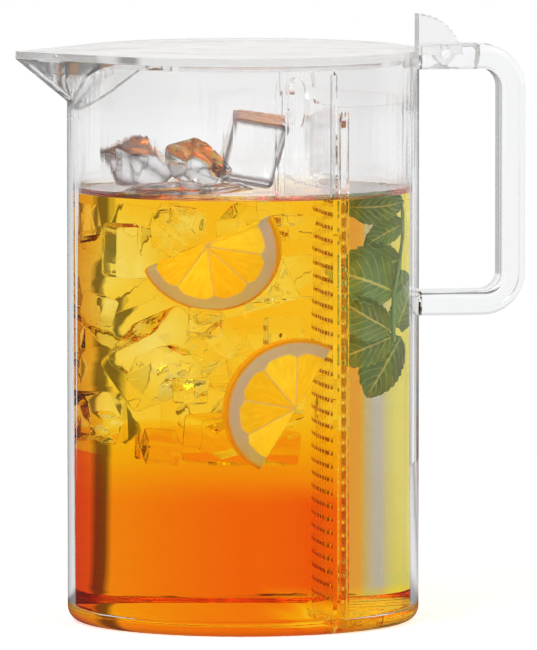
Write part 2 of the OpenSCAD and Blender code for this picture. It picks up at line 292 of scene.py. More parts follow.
@dataclass(frozen=True)
class LemonFlesh:
    """Cut lemon: juicy yellow segments with long sacs, thin membranes, a tan pith and a rind line."""

    name: str = "lemon_flesh"
    pulp: str = "FFF048"
    deep: str = "F4D21C"
    pith: str = "C8C3BC"
    rind: str = "DFA417"
    segment_turn: float = math.pi / LEMON_SEGMENTS
    radius_mm: float = LEMON_RADIUS_MM
    pith_mm: float = 4.4
    pith_fade_mm: tuple[float, float] = (-0.3, 0.5)
    rind_mm: float = 1.1
    peel_mm: tuple[float, float] = (1.6, 0.6)
    corner_mm: float = 3.5
    corner_dip_mm: float = 1.6
    membrane_mm: tuple[float, float] = (0.1, 0.5)
    membrane: float = 0.55
    sac_mm: float = 5.0
    sacs_across: float = 7.0
    sac_octaves: float = 3.0
    sac_relief: float = 0.5
    sac_relief_mm: float = 0.6
    tone: float = 0.6
    tone_range: tuple[float, float] = (0.4, 1.1)
    glow: float = 0.45

    def material(self) -> Material:
        """Builds the node material from segment number and radius in the UV map.

        Returns:
            The material.
        """
        material, tree = new_material(self.name)
        place = add(tree, "UVMap", uv_map="UVMap")
        split = add(tree, "SeparateXYZ", {"Vector": place})
        turn, radius = split.outputs["X"], split.outputs["Y"]
        fold = add(tree, "Math", {0: turn, 1: HALF}, operation="PINGPONG")
        arm = add(tree, "Math", {0: radius, 1: self.segment_turn}, operation="MULTIPLY")
        off = add(tree, "Math", {0: fold, 1: arm}, operation="MULTIPLY")
        corner = span(0.0, self.corner_mm, self.corner_dip_mm, 0.0)
        dip = add(tree, "MapRange", {"Value": off, **corner})
        reach = add(tree, "Math", {0: radius, 1: dip}, operation="ADD")
        thin = span(*self.membrane_mm, self.membrane, 0.0)
        skin = add(tree, "MapRange", {"Value": off, **thin})
        edge = self.radius_mm - self.rind_mm - self.pith_mm
        ends = [edge + side for side in self.pith_fade_mm]
        pale = add(tree, "MapRange", {"Value": reach, **span(*ends)})
        white = add(tree, "Math", {0: skin, 1: pale}, operation="MAXIMUM")
        number = add(tree, "Math", {0: turn}, operation="FLOOR")
        tone = add(tree, "TexWhiteNoise", {"W": number}, noise_dimensions="1D")
        wide = add(tree, "Math", {0: turn, 1: self.sacs_across}, operation="MULTIPLY")
        long = add(tree, "Math", {0: radius, 1: self.sac_mm}, operation="DIVIDE")
        grain = add(tree, "CombineXYZ", {"X": wide, "Y": long})
        fine = {"Vector": grain, "Scale": 1.0, "Detail": self.sac_octaves}
        sacs = add(tree, "TexNoise", fine)
        half = add(tree, "Math", {0: tone, 1: self.tone}, operation="MULTIPLY")
        shade = add(tree, "Math", {0: half, 1: sacs}, operation="ADD")
        depth = add(tree, "MapRange", {"Value": shade, **span(*self.tone_range)})
        ends = [self.radius_mm - side for side in self.peel_mm]
        peel = add(tree, "MapRange", {"Value": radius, **span(*ends)})
        colour = linear(self.pulp)
        for share, other in ((depth, self.deep), (white, self.pith), (peel, self.rind)):
            mix = {"Fac": share, "Color1": colour, "Color2": linear(other)}
            colour = add(tree, "MixRGB", mix)
        relief = {"Strength": self.sac_relief, "Distance": self.sac_relief_mm * MM}
        bump = add(tree, "Bump", {"Height": sacs, **relief})
        front = add(tree, "BsdfDiffuse", {"Color": colour, "Normal": bump})
        through = add(tree, "BsdfTranslucent", {"Color": colour})
        surface = add(tree, "MixShader", {"Fac": self.glow, 1: front, 2: through})
        add(tree, "OutputMaterial", {"Surface": surface})
        return material


@dataclass(frozen=True)
class WaxyRind:
    """Lemon rind: bright waxy yellow, pitted by oil glands."""

    name: str = "lemon_rind"
    colour: str = "F2B400"
    roughness: float = 0.35
    gland_mm: float = 1.1
    pit: float = 0.4
    pit_mm: float = 0.2

    def material(self) -> Material:
        """Builds the node material.

        Returns:
            The material.
        """
        material, tree = new_material(self.name)
        place = add(tree, "TexCoord").outputs["Object"]
        glands = add(tree, "TexVoronoi", {"Vector": place, "Scale": pattern_scale(self.gland_mm)})
        pits = {"Height": glands, "Strength": self.pit, "Distance": self.pit_mm * MM}
        bump = add(tree, "Bump", pits)
        wax = {"Base Color": linear(self.colour), "Roughness": self.roughness, "Normal": bump}
        skin = add(tree, "BsdfPrincipled", wax)
        add(tree, "OutputMaterial", {"Surface": skin})
        return material


@dataclass(frozen=True)
class MintLeafSkin:
    """Fresh mint leaf: matt blue green blade, pale raised veins and a yellow green glow."""

    name: str = "mint_leaf"
    blade: str = "8FAF8A"
    shade: str = "5C8276"
    vein: str = "CDD6A8"
    glow: str = "A9C46A"
    glow_share: float = 0.25
    patch_mm: float = 7.0
    patch_octaves: float = 3.0
    side_veins: float = 8.0
    side_width: tuple[float, float] = (0.03, 0.12)
    side_share: float = 0.5
    rib_width: tuple[float, float] = (0.012, 0.04)
    sweep: float = 4.4
    relief: float = 0.5
    relief_mm: float = 0.4

    def material(self) -> Material:
        """Builds the node material from the leaf's own length and width coordinates.

        Returns:
            The material.
        """
        material, tree = new_material(self.name)
        place = add(tree, "UVMap", uv_map="UVMap")
        split = add(tree, "SeparateXYZ", {"Vector": place})
        across = add(tree, "Math", {0: split.outputs["Y"], 1: HALF}, operation="SUBTRACT")
        off = add(tree, "Math", {0: across}, operation="ABSOLUTE")
        along = add(tree, "Math", {0: split.outputs["X"], 1: self.side_veins}, operation="MULTIPLY")
        drift = add(tree, "Math", {0: off, 1: self.sweep}, operation="MULTIPLY")
        phase = add(tree, "Math", {0: along, 1: drift}, operation="SUBTRACT")
        saw = add(tree, "Math", {0: phase, 1: HALF}, operation="PINGPONG")
        side = add(tree, "MapRange", {"Value": saw, **span(*self.side_width, self.side_share, 0.0)})
        rib = add(tree, "MapRange", {"Value": off, **span(*self.rib_width, 1.0, 0.0)})
        vein = add(tree, "Math", {0: side, 1: rib}, operation="MAXIMUM")
        spot = add(tree, "TexCoord").outputs["Object"]
        size = {"Scale": pattern_scale(self.patch_mm), "Detail": self.patch_octaves}
        patch = add(tree, "TexNoise", {"Vector": spot, **size})
        colour = linear(self.blade)
        for share, other in ((patch, self.shade), (vein, self.vein)):
            mix = {"Fac": share, "Color1": colour, "Color2": linear(other)}
            colour = add(tree, "MixRGB", mix)
        raised = {"Height": vein, "Strength": self.relief, "Distance": self.relief_mm * MM}
        bump = add(tree, "Bump", raised)
        front = add(tree, "BsdfDiffuse", {"Color": colour, "Normal": bump})
        through = add(tree, "BsdfTranslucent", {"Color": linear(self.glow)})
        surface = add(tree, "MixShader", {"Fac": self.glow_share, 1: front, 2: through})
        add(tree, "OutputMaterial", {"Surface": surface})
        return material


@dataclass(frozen=True)
class PaintedSlotShade:
    """Painted shade on the slot walls: brown and half clear, so that the slots read as short dark
    dashes.
    """

    name: str = "painted_slot_shade"
    brown: str = "E0A030"
    body: float = 0.4

    def material(self) -> Material:
        """Builds the node material.

        Returns:
            The material.
        """
        material, tree = new_material(self.name)
        clear = add(tree, "BsdfTransparent", {"Color": WHITE})
        glow = add(tree, "BsdfTranslucent", {"Color": linear(self.brown)})
        surface = add(tree, "MixShader", {"Fac": self.body, 1: clear, 2: glow})
        add(tree, "OutputMaterial", {"Surface": surface})
        return material


@dataclass(frozen=True)
class ClearIce:
    """Freezer ice: clear at the faces, with painted shade at the edges, a cloudy core and a melted
    skin.
    """

    name: str
    ior: float
    roughness: float = 0.02
    cloud: float = 0.1
    cloud_mm: float = 18.0
    cloud_octaves: float = 4.0
    cloud_range: tuple[float, float] = (0.38, 0.75)
    melt_mm: float = 9.0
    melt_strength: float = 0.35
    edge: str = EDGE_MARK
    # Colour of the painted shade on the marked edges; white paints none.
    shade: str = "FFFFFF"

    def material(self) -> Material:
        """Builds the node material.

        Returns:
            The material.
        """
        material, tree = new_material(self.name)
        # Painted shade: the marked edge faces are tinted towards the shade colour, in place of the
        # dark surroundings that real edges refract.
        rim = add(tree, "Attribute", attribute_name=self.edge).outputs["Fac"]
        painted_edge_shade = {"Fac": rim, "Color1": WHITE, "Color2": linear(self.shade)}
        tint = add(tree, "MixRGB", painted_edge_shade)
        place = add(tree, "TexCoord").outputs["Object"]
        melt = add(tree, "TexNoise", {"Vector": place, "Scale": pattern_scale(self.melt_mm)})
        bump = add(tree, "Bump", {"Height": melt, "Strength": self.melt_strength, "Distance": MM})
        gloss = {"Base Color": tint, "IOR": self.ior, "Roughness": self.roughness, "Normal": bump}
        clear = add(tree, "BsdfPrincipled", {**gloss, "Transmission Weight": 1.0})
        core = add(tree, "BsdfTranslucent", {"Color": WHITE, "Normal": bump})
        size = {"Scale": pattern_scale(self.cloud_mm), "Detail": self.cloud_octaves}
        patch = add(tree, "TexNoise", {"Vector": place, **size})
        misty = span(*self.cloud_range, 0.0, self.cloud)
        share = add(tree, "MapRange", {"Value": patch, **misty})
        surface = add(tree, "MixShader", {"Fac": share, 1: clear, 2: core})
        add(tree, "OutputMaterial", {"Surface": surface})
        return material


def baked(mesh: BMesh, name: str) -> Mesh:
    """Turns a bmesh into mesh data.

    Args:
        mesh: Finished bmesh; it is freed.
        name: Name of the data.

    Returns:
        The mesh data.
    """
    data = bpy.data.meshes.new(name)
    mesh.to_mesh(data)
    mesh.free()
    return data


def join(target: BMesh, mesh: BMesh) -> None:
    """Adds a bmesh to another one.

    Args:
        target: Bmesh that grows.
        mesh: Bmesh to add; it is freed.
    """
    data = baked(mesh, "joined")
    target.from_mesh(data)
    bpy.data.meshes.remove(data)


def merge(target: BMesh, shape: Mesh, size: float, centre: Vector) -> list[BMFace]:
    """Adds mesh data to a bmesh.

    Args:
        target: Bmesh that grows.
        shape: Mesh to add.
        size: Scale about the centre.
        centre: Centre of the scale.

    Returns:
        The new faces.
    """
    before = len(target.faces)
    first = len(target.verts)
    target.from_mesh(shape)
    target.faces.ensure_lookup_table()
    target.verts.ensure_lookup_table()
    new_verts = target.verts[first:]
    for vert in new_verts:
        vert.co = centre + (vert.co - centre) * size
    return target.faces[before:]


def put(
    name: str,
    mesh: BMesh,
    materials: Sequence[Material],
    body: Body,
    sharp: Sharp = Sharp.PLAIN,
) -> Object:
    """Turns a bmesh into a smooth piece that rides on a body.

    Args:
        name: Name of the piece.
        mesh: Finished bmesh, in the frame of the part; it is freed.
        materials: Materials in slot order.
        body: Body that the piece rides on.
        sharp: Edges that turn by more than this stay sharp.

    Returns:
        The new object.
    """
    for face in mesh.faces:
        face.smooth = True
    data = baked(mesh, name)
    data.set_sharp_from_angle(angle=math.radians(sharp.value))
    for material in materials:
        data.materials.append(material)
    piece = bpy.data.objects.new(name, data)
    bpy.context.scene.collection.objects.link(piece)
    weigh_normals(piece)
    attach(piece, body.value)
    LOG.info("%s: %d faces on %s", name, len(piece.data.polygons), body.value)
    return piece


def weigh_normals(piece: Object) -> None:
    """Weighs the normals by face area, so that flats stay flat beside their fillets.

    Args:
        piece: Object whose mesh is replaced.
    """
    weights = piece.modifiers.new("weights", "WEIGHTED_NORMAL")
    weights.keep_sharp = True
    weights.weight = NORMAL_WEIGHT
    solved = piece.evaluated_get(bpy.context.evaluated_depsgraph_get())
    data, name = piece.data, piece.data.name
    piece.data = bpy.data.meshes.new_from_object(solved)
    piece.modifiers.clear()
    bpy.data.meshes.remove(data)
    piece.data.name = name


def node_copy(node: str, radii_mm: Sequence[float] = ()) -> BMesh:
    """Copies a CAD node's mesh, merges its loose triangles and draws its faces in by half a seat gap.

    Args:
        node: Name of the CAD node.
        radii_mm: Radii of round walls about Z that are made rounder.

    Returns:
        The merged bmesh.
    """
    mesh = bmesh.new()
    mesh.from_mesh(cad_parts[node].data)
    bmesh.ops.remove_doubles(mesh, verts=mesh.verts, dist=MERGE_MM * MM)
    if radii_mm:
        round_off(mesh, radii_mm)
    mesh.normal_update()
    for vert in mesh.verts:
        vert.co -= vert.normal * SEAT_GAP_MM / 2 * MM
    return mesh


def round_off(mesh: BMesh, radii_mm: Sequence[float], cuts: int = 2) -> None:
    """Splits the flats of round walls about Z and sets the new points on their circles.

    Args:
        mesh: Mesh that is refined in place.
        radii_mm: Radii of the walls.
        cuts: New points on each flat.
    """
    flat = math.radians(FLAT_DEG)
    bmesh.ops.dissolve_limit(mesh, angle_limit=flat, verts=mesh.verts, edges=mesh.edges)
    for radius in radii_mm:
        chords = []
        for edge in mesh.edges:
            ends = [v.co / MM for v in edge.verts]
            level = abs(ends[0].z - ends[1].z) < LEVEL_TOLERANCE_MM
            off = [abs(math.hypot(e.x, e.y) - radius) for e in ends]
            if level and max(off) < WALL_TOLERANCE_MM:
                chords.append(edge)
        made = bmesh.ops.subdivide_edges(mesh, edges=chords, cuts=cuts)
        for vert in made["geom_inner"]:
            if isinstance(vert, BMVert):
                grow = radius * MM / math.hypot(vert.co.x, vert.co.y)
                if abs(grow - 1) < SNAP_TOLERANCE:
                    vert.co = (vert.co.x * grow, vert.co.y * grow, vert.co.z)


def everything(mesh: BMesh) -> list[BMVert | BMEdge | BMFace]:
    """All points, edges and faces of a bmesh."""
    return list(mesh.verts) + list(mesh.edges) + list(mesh.faces)


def cut_level(mesh: BMesh, height_mm: float, drop: bool = False) -> None:
    """Cuts every face of a mesh at a height.

    Args:
        mesh: Mesh that is cut in place.
        height_mm: Height of the cut.
        drop: Whether what lies below the cut goes.
    """
    place, up = (0, 0, height_mm * MM), (0, 0, 1)
    bmesh.ops.bisect_plane(
        mesh, geom=everything(mesh), plane_co=place, plane_no=up, clear_inner=drop
    )


def lathe(
    profile: Sequence[tuple[float, float]], steps: int, angle: float = FULL_TURN, unit: float = MM
) -> BMesh:
    """Spins a half profile round the Z axis.

    Args:
        profile: Radius and height of each point in millimetres, starting on the axis.
        steps: Number of steps in the turn.
        angle: The turn.
        unit: Size of a millimetre in the result.

    Returns:
        The spun bmesh, with its faces pointing one way.
    """
    mesh = bmesh.new()
    verts = [mesh.verts.new((r * unit, 0, z * unit)) for r, z in profile]
    edges = [mesh.edges.new(pair) for pair in zip(verts, verts[1:])]
    bmesh.ops.spin(
        mesh,
        geom=verts + edges,
        cent=(0, 0, 0),
        axis=(0, 0, 1),
        angle=angle,
        steps=steps,
        use_merge=angle == FULL_TURN,
    )
    bmesh.ops.remove_doubles(mesh, verts=mesh.verts, dist=MERGE_MM * unit)
    bmesh.ops.dissolve_degenerate(mesh, edges=mesh.edges, dist=SLIVER_MM * unit)
    bmesh.ops.recalc_face_normals(mesh, faces=mesh.faces)
    return mesh


def arc(
    centre: tuple[float, float], radius: float, start: float, end: float, count: int
) -> list[tuple[float, float]]:
    """Points of an arc in a half profile.

    Args:
        centre: Radius and height of the arc's centre.
        radius: Radius of the arc.
        start: First angle in degrees.
        end: Last angle in degrees.
        count: Number of points.

    Returns:
        The points, both ends included.
    """
    turns = [math.radians(start + (end - start) * i / (count - 1)) for i in range(count)]
    return [(centre[0] + radius * math.cos(t), centre[1] + radius * math.sin(t)) for t in turns]


@dataclass(frozen=True)
class Sight:
    """Directions seen from the photograph's side: right, up and away from the viewer."""

    azimuth_deg: float = -10.0

    @property
    def right(self) -> Vector:
        """Level direction to the right of the picture."""
        turn = math.radians(self.azimuth_deg)
        return Vector((math.cos(turn), math.sin(turn), 0))

    @property
    def away(self) -> Vector:
        """Level direction into the picture."""
        turn = math.radians(self.azimuth_deg)
        return Vector((-math.sin(turn), math.cos(turn), 0))

    def place(self, right_mm: float, away_mm: float, up_mm: float) -> Vector:
        """Point from distances in millimetres along the picture's directions."""
        return (self.right * right_mm + self.away * away_mm + Vector((0, 0, up_mm))) * MM


SIGHT = Sight()


@dataclass
class Studio:
    """White studio: pale floor, soft lamps, a pale surround and the camera.

    Stops of mirrored and backdrop are degrees to the right from straight away, with a level each.
    Stops of the domes are shares of the way from straight down to straight up.
    """

    aim_mm: tuple[float, float, float] = (10.5, 0.0, 121.9)
    camera_distance_mm: float = 5000.0
    camera_height_mm: float = 550.0
    lens_mm: float = 674.0
    sensor_mm: float = 36.0
    view_end_m: float = 100.0
    floor_radius_mm: float = 700.0
    floor_sides: int = 96
    floor_paper: str = "E6E6E6"
    floor_glow: float = 0.45
    ambient: float = 0.55
    mirrored: tuple[tuple[float, float], ...] = (
        (-20.0, 0.08),
        (12.0, 0.08),
        (30.0, 0.6),
        (60.0, 0.6),
        (90.0, 0.08),
    )
    exit_mm: tuple[float, float] = (-25.0, 65.0)
    backdrop: tuple[tuple[float, float], ...] = (
        (-140.0, 0.85),
        (-115.0, 0.35),
        (-80.0, 0.3),
        (-66.0, 1.0),
        (27.0, 1.0),
        (29.0, 0.2),
        (34.0, 0.2),
        (38.0, 0.85),
        (60.0, 0.85),
        (75.0, 0.45),
        (115.0, 0.45),
        (140.0, 0.85),
    )
    dome_through: tuple[tuple[float, float], ...] = (
        (0.62, 1.0),
        (0.72, 0.8),
        (0.9, 0.85),
        (0.97, 1.0),
    )
    dome_mirrored: tuple[tuple[float, float], ...] = (
        (0.51, 0.95),
        (0.64, 0.95),
        (0.76, 0.4),
        (0.96, 0.9),
    )
    horizon: tuple[float, float] = (0.49, 0.51)
    liquid_gain: float = 1.75
    lamp_side_mm: float = 900.0
    key_mm: tuple[float, float, float] = (-900.0, -1300.0, 1500.0)
    key_power: float = 16.0
    fill_mm: tuple[float, float, float] = (1200.0, -800.0, 1700.0)
    fill_power: float = 9.0
    bounces: int = 48
    rays: tuple[str, ...] = ("Is Glossy Ray", "Is Transmission Ray", "Is Camera Ray")

    def build(self) -> None:
        """Makes the floor, the world, the lamps and the camera."""
        self.make_floor()
        self.make_world()
        self.make_lamp("key", self.key_mm, self.key_power)
        self.make_lamp("fill", self.fill_mm, self.fill_power)
        self.make_camera()
        scene = bpy.context.scene
        scene.view_settings.view_transform = "Standard"
        scene.cycles.max_bounces = self.bounces
        scene.cycles.transmission_bounces = self.bounces
        scene.cycles.transparent_max_bounces = self.bounces
        scene.cycles.glossy_bounces = self.bounces
        scene.cycles.blur_glossy = 0.0

    def make_floor(self) -> None:
        """Makes a round pale floor that keeps the shadow."""
        mesh = bmesh.new()
        radius = self.floor_radius_mm * MM
        bmesh.ops.create_circle(mesh, cap_ends=True, segments=self.floor_sides, radius=radius)
        data = baked(mesh, "floor")
        material, tree = new_material("floor_paper")
        paper = add(tree, "BsdfDiffuse", {"Color": linear(self.floor_paper)})
        glow = add(tree, "Emission", {"Color": WHITE, "Strength": self.floor_glow})
        both = add(tree, "AddShader", {0: paper, 1: glow})
        place = add(tree, "TexCoord").outputs["Object"]
        turn = self.turn(tree, place, self.exit_mm)
        mirror = add(tree, "ValToRGB", {"Fac": turn}, self.compass(self.mirrored))
        dim = add(tree, "Emission", {"Color": WHITE, "Strength": mirror})
        white = add(tree, "Emission", {"Color": WHITE, "Strength": self.gathered(tree, turn)})
        add(tree, "OutputMaterial", {"Surface": self.by_ray(tree, paper, (dim, white, both))})
        data.materials.append(material)
        floor = bpy.data.objects.new("floor", data)
        bpy.context.scene.collection.objects.link(floor)

    def by_ray(
        self, tree: NodeTree, plain: Node, shaders: Sequence[Node]
    ) -> Node:
        """Picks a shader by the kind of ray.

        Args:
            tree: Node tree that gets the nodes.
            plain: Shader that lights the rest.
            shaders: Shaders that are mirrored, seen through clear things and seen by the camera.

        Returns:
            Node with the picked shader.
        """
        path = add(tree, "LightPath")
        picked = plain
        for ray, shader in zip(self.rays, shaders):
            picked = add(tree, "MixShader", {"Fac": path.outputs[ray], 1: picked, 2: shader})
        return picked

    def turn(
        self,
        tree: NodeTree,
        place: NodeSocket,
        centre_mm: tuple[float, float] = (0.0, 0.0),
    ) -> Node:
        """Adds the compass turn of a direction or of a point on the floor.

        Args:
            tree: Node tree that gets the nodes.
            place: Socket with the direction or the point.
            centre_mm: Point, right and away, that a floor point is seen from.

        Returns:
            Node whose result is a half straight away from the viewer and grows to the right.
        """
        legs = []
        for way, start in zip((SIGHT.right, SIGHT.away), centre_mm):
            leg = add(tree, "VectorMath", {0: place, 1: way}, operation="DOT_PRODUCT")
            ends = {0: leg.outputs["Value"], 1: start * MM}
            legs.append(add(tree, "Math", ends, operation="SUBTRACT"))
        angle = add(tree, "Math", {0: legs[0], 1: legs[1]}, operation="ARCTAN2")
        return add(tree, "MapRange", {"Value": angle, **span(-math.pi, math.pi)})

    def compass(self, stops: Sequence[tuple[float, float]]) -> list[tuple[float, float]]:
        """Turns stops in degrees from straight away into shares of a full turn."""
        return [(HALF + math.radians(deg) / FULL_TURN, level) for deg, level in stops]

    def gathered(self, tree: NodeTree, turn: Node) -> Node:
        """Level seen through clear things: a white backdrop with dim bands beside it.

        Args:
            tree: Node tree that gets the nodes.
            turn: Node with the compass turn.

        Returns:
            Node with the level, which after a matt bounce is the light that a liquid gathers.
        """
        depth = add(tree, "LightPath").outputs["Diffuse Depth"]
        level = add(tree, "ValToRGB", {"Fac": turn}, self.compass(self.backdrop))
        return add(tree, "MapRange", {"Value": depth, "To Min": level, "To Max": self.liquid_gain})

    def make_world(self) -> None:
        """Makes a surround: white to the eye, banded through clear things, plain light to the rest."""
        world = bpy.data.worlds.new("studio")
        world.use_nodes = True
        tree = world.node_tree
        tree.nodes.clear()
        place = add(tree, "TexCoord").outputs["Generated"]
        height = add(tree, "SeparateXYZ", {"Vector": place}).outputs["Z"]
        rise = add(tree, "MapRange", {"Value": height, **span(-1.0, 1.0)})
        turn = self.turn(tree, place)
        low = add(tree, "ValToRGB", {"Fac": turn}, self.compass(self.mirrored))
        high = add(tree, "MapRange", {"Value": rise, **span(*self.horizon), "To Min": low})
        domes = []
        for stops, strength in (
            (self.dome_mirrored, high),
            (self.dome_through, self.gathered(tree, turn)),
        ):
            ramp = add(tree, "ValToRGB", {"Fac": rise}, stops)
            domes.append(add(tree, "Background", {"Color": ramp, "Strength": strength}))
        domes.append(add(tree, "Background", {"Color": WHITE, "Strength": 1.0}))
        plain = add(tree, "Background", {"Color": WHITE, "Strength": self.ambient})
        add(tree, "OutputWorld", {"Surface": self.by_ray(tree, plain, domes)})
        bpy.context.scene.world = world

    def make_lamp(self, name: str, place_mm: tuple[float, float, float], power: float) -> None:
        """Makes one soft square lamp that faces the middle of the jug.

        Args:
            name: Name of the lamp.
            place_mm: Distances right, away and up.
            power: Power in watts.
        """
        data = bpy.data.lights.new(name, "AREA")
        data.shape = "SQUARE"
        data.size = self.lamp_side_mm * MM
        data.energy = power
        lamp = bpy.data.objects.new(name, data)
        lamp.location = SIGHT.place(*place_mm)
        aim = SIGHT.place(*self.aim_mm) - lamp.location
        lamp.rotation_euler = aim.to_track_quat("-Z", "Y").to_euler()
        bpy.context.scene.collection.objects.link(lamp)

    def make_camera(self) -> None:
        """Makes the long lens camera of the photograph."""
        data = bpy.data.cameras.new("camera")
        data.lens = self.lens_mm
        data.sensor_width = self.sensor_mm
        data.clip_end = self.view_end_m
        camera = bpy.data.objects.new("camera", data)
        aim = SIGHT.place(*self.aim_mm)
        right, _, _ = self.aim_mm
        camera.location = SIGHT.place(right, -self.camera_distance_mm, self.camera_height_mm)
        camera.rotation_euler = (aim - camera.location).to_track_quat("-Z", "Y").to_euler()
        bpy.context.scene.collection.objects.link(camera)
        bpy.context.scene.camera = camera


@dataclass
class ClearJug:
    """Jug body, handle, spout guard and hinge pin."""

    spout_foot_mm: float = 212.0
    tea_level_mm: float = TEA_LEVEL_MM
    bore_mm: float = 70.6
    floor_mm: float = 3.0
    rib_mm: float = 69.55
    rib_foot_mm: float = 9.0
    wall: ClearPlastic = field(
        default_factory=lambda: ClearPlastic(
            "jug_plastic", wetted="wetted", haze=0.05, haze_from_mm=206.0
        )
    )
    grip: ClearPlastic = field(default_factory=lambda: ClearPlastic("handle_plastic"))
    pin: ClearPlastic = field(default_factory=lambda: ClearPlastic("pin_plastic", roughness=0.1))

    def build(self) -> None:
        """Makes smooth copies of the fixed mouldings."""
        wall = self.wall.material()
        rows = (
            ("jug_body", wall, "jug_clear"),
            ("ice_guard", wall, "jug_clear"),
            ("handle", self.grip.material(), "handle_clear"),
            ("hinge_pin", self.pin.material(), "pin_plastic"),
        )
        for node, material, slot in rows:
            mesh = node_copy(node)
            if node == "jug_body":
                cut_level(mesh, self.spout_foot_mm)
                self.wet(mesh)
            piece = put(node + "_clear", mesh, [material], Body.JUG, Sharp.MOULDING)
            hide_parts(node)

    def wet(self, mesh: BMesh) -> None:
        """Marks the inner faces that the tea wets and the guide ribs that stand in it.

        Args:
            mesh: Mesh of the jug body, which is cut at the tea's level.
        """
        cut_level(mesh, self.tea_level_mm)
        marks = mesh.faces.layers.float.new(self.wall.wetted)
        ribs = mesh.faces.layers.float.new(self.wall.sunk)
        for face in mesh.faces:
            x, y, z = face.calc_center_median() / MM
            radius = math.hypot(x, y)
            face[marks] = float(radius < self.bore_mm and self.floor_mm < z < self.tea_level_mm)
            rib = radius < self.rib_mm and self.rib_foot_mm < z < self.tea_level_mm
            bed = face.normal.z > UPWARD and self.floor_mm < z < self.rib_foot_mm
            face[ribs] = float(rib or bed)


@dataclass
class HingedLid:
    """Lid plate with its beak, skirt and scalloped thumb lever."""

    round_walls_mm: tuple[float, ...] = (72.5, 66.0, 63.8)
    plate: ClearPlastic = field(
        default_factory=lambda: ClearPlastic(
            "lid_plastic", absorb=2.0, frost_from_mm=72.75, frost=0.35, haze=0.1
        )
    )

    def build(self) -> None:
        """Makes a smooth copy of the lid."""
        mesh = node_copy("lid", self.round_walls_mm)
        piece = put("lid_clear", mesh, [self.plate.material()], Body.LID)
        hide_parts("lid")


@dataclass
class InfuserBasket:
    """Basket shell and slotted screen, dry above the tea and wetted below it."""

    tea_level_mm: float = TEA_LEVEL_MM
    bow_mm: float = SCREEN_BOW_MM
    thickness_mm: float = 2.0
    axis_mm: float = 282.0
    field_top_mm: float = 186.6
    grip_from_mm: float = 187.4
    first_row_mm: float = 7.0
    rows: int = 32
    row_pitch_mm: float = 5.45
    columns: int = 20
    column_pitch_mm: float = 5.7
    slot_mm: tuple[float, float] = (4.0, 1.5)
    # Columns whose slot walls get painted shade.
    slot_shade_mm: tuple[float, float] = (-38.0, 52.0)
    dry: ClearPlastic = field(
        default_factory=lambda: ClearPlastic("infuser_plastic", ior=1.33, absorb=0.0)
    )
    wet_shell: ClearPlastic = field(
        default_factory=lambda: ClearPlastic("infuser_shell_wet", ior=1.05, absorb=0.0)
    )
    wet_screen: ClearPlastic = field(
        default_factory=lambda: ClearPlastic("infuser_screen_wet", ior=WET_IOR, absorb=0.0)
    )
    edge: PaintedSlotShade = field(default_factory=PaintedSlotShade)

    def build(self) -> None:
        """Makes the shell and the screen."""
        dry, edge = self.dry.material(), self.edge.material()
        rows = (
            ("infuser_shell", node_copy("infuser_shell"), self.wet_shell),
            ("infuser_screen", self.screen_mesh(), self.wet_screen),
        )
        for node, mesh, wet in rows:
            materials = [dry, wet.material(), edge]
            cut_level(mesh, self.tea_level_mm)
            for face in mesh.faces:
                below = face.calc_center_median().z < self.tea_level_mm * MM
                face.material_index = int(below) * (1 + face.material_index)
            piece = put(node + "_clear", mesh, materials, Body.INFUSER, Sharp.MOULDING)
            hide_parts(node)

    def screen_mesh(self) -> BMesh:
        """Makes the finely slotted field as a bent grid and joins the CAD grip tab to it.

        Returns:
            The bmesh of the screen, whose slot walls have the second material.
        """
        low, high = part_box("infuser_screen")
        half, base = high[1] / MM, low[2] / MM
        slot_width, slot_height = self.slot_mm
        across = [-half]
        for i in range(self.columns):
            centre = (i + HALF - self.columns / 2) * self.column_pitch_mm
            across += [centre - slot_width / 2, centre + slot_width / 2]
        across.append(half)
        up = [base]
        for i in range(self.rows):
            centre = base + self.first_row_mm + i * self.row_pitch_mm
            up += [centre - slot_height / 2, centre + slot_height / 2]
        up.append(self.field_top_mm)
        mesh = bmesh.new()
        wide, tall = len(across) - 1, len(up) - 1
        bmesh.ops.create_grid(mesh, x_segments=wide, y_segments=tall, size=HALF)
        for vert in mesh.verts:
            column = round((vert.co.x + HALF) * wide)
            row = round((vert.co.y + HALF) * tall)
            vert.co = (across[column], up[row], 0)
        slots = []
        for face in mesh.faces:
            middle = face.calc_center_median()
            column = bisect.bisect(across, middle.x) - 1
            row = bisect.bisect(up, middle.y) - 1
            if column % 2 == 1 and row % 2 == 1:
                slots.append(face)
        bmesh.ops.delete(mesh, geom=slots, context="FACES")
        bmesh.ops.solidify(mesh, geom=list(mesh.faces), thickness=self.thickness_mm)
        for face in mesh.faces:
            # Painted shade: slot walls in the middle columns get the brown slot finish.
            inner = self.slot_shade_mm[0] < face.calc_center_median().x < self.slot_shade_mm[1]
            face.material_index = int(inner and abs(face.normal.z) < UPWARD)
        for vert in mesh.verts:
            radius = self.bow_mm - abs(vert.co.z)
            depth = self.axis_mm - math.sqrt(radius**2 - vert.co.x**2)
            vert.co = Vector((depth, vert.co.x, vert.co.y)) * MM
        self.join_grip(mesh)
        bmesh.ops.recalc_face_normals(mesh, faces=mesh.faces)
        return mesh

    def join_grip(self, mesh: BMesh) -> None:
        """Joins the CAD screen's plain upper part to the slotted field.

        Args:
            mesh: Slotted field, which grows in place.
        """
        top = self.field_top_mm * MM
        rim = []
        for face in mesh.faces:
            if all(abs(vert.co.z - top) < MERGE_MM * MM for vert in face.verts):
                rim.append(face)
        bmesh.ops.delete(mesh, geom=rim, context="FACES")
        grip = node_copy("infuser_screen")
        cut_level(grip, self.grip_from_mm, drop=True)
        join(mesh, grip)
        seam = [e for e in mesh.edges if e.is_boundary]
        bmesh.ops.bridge_loops(mesh, edges=seam)


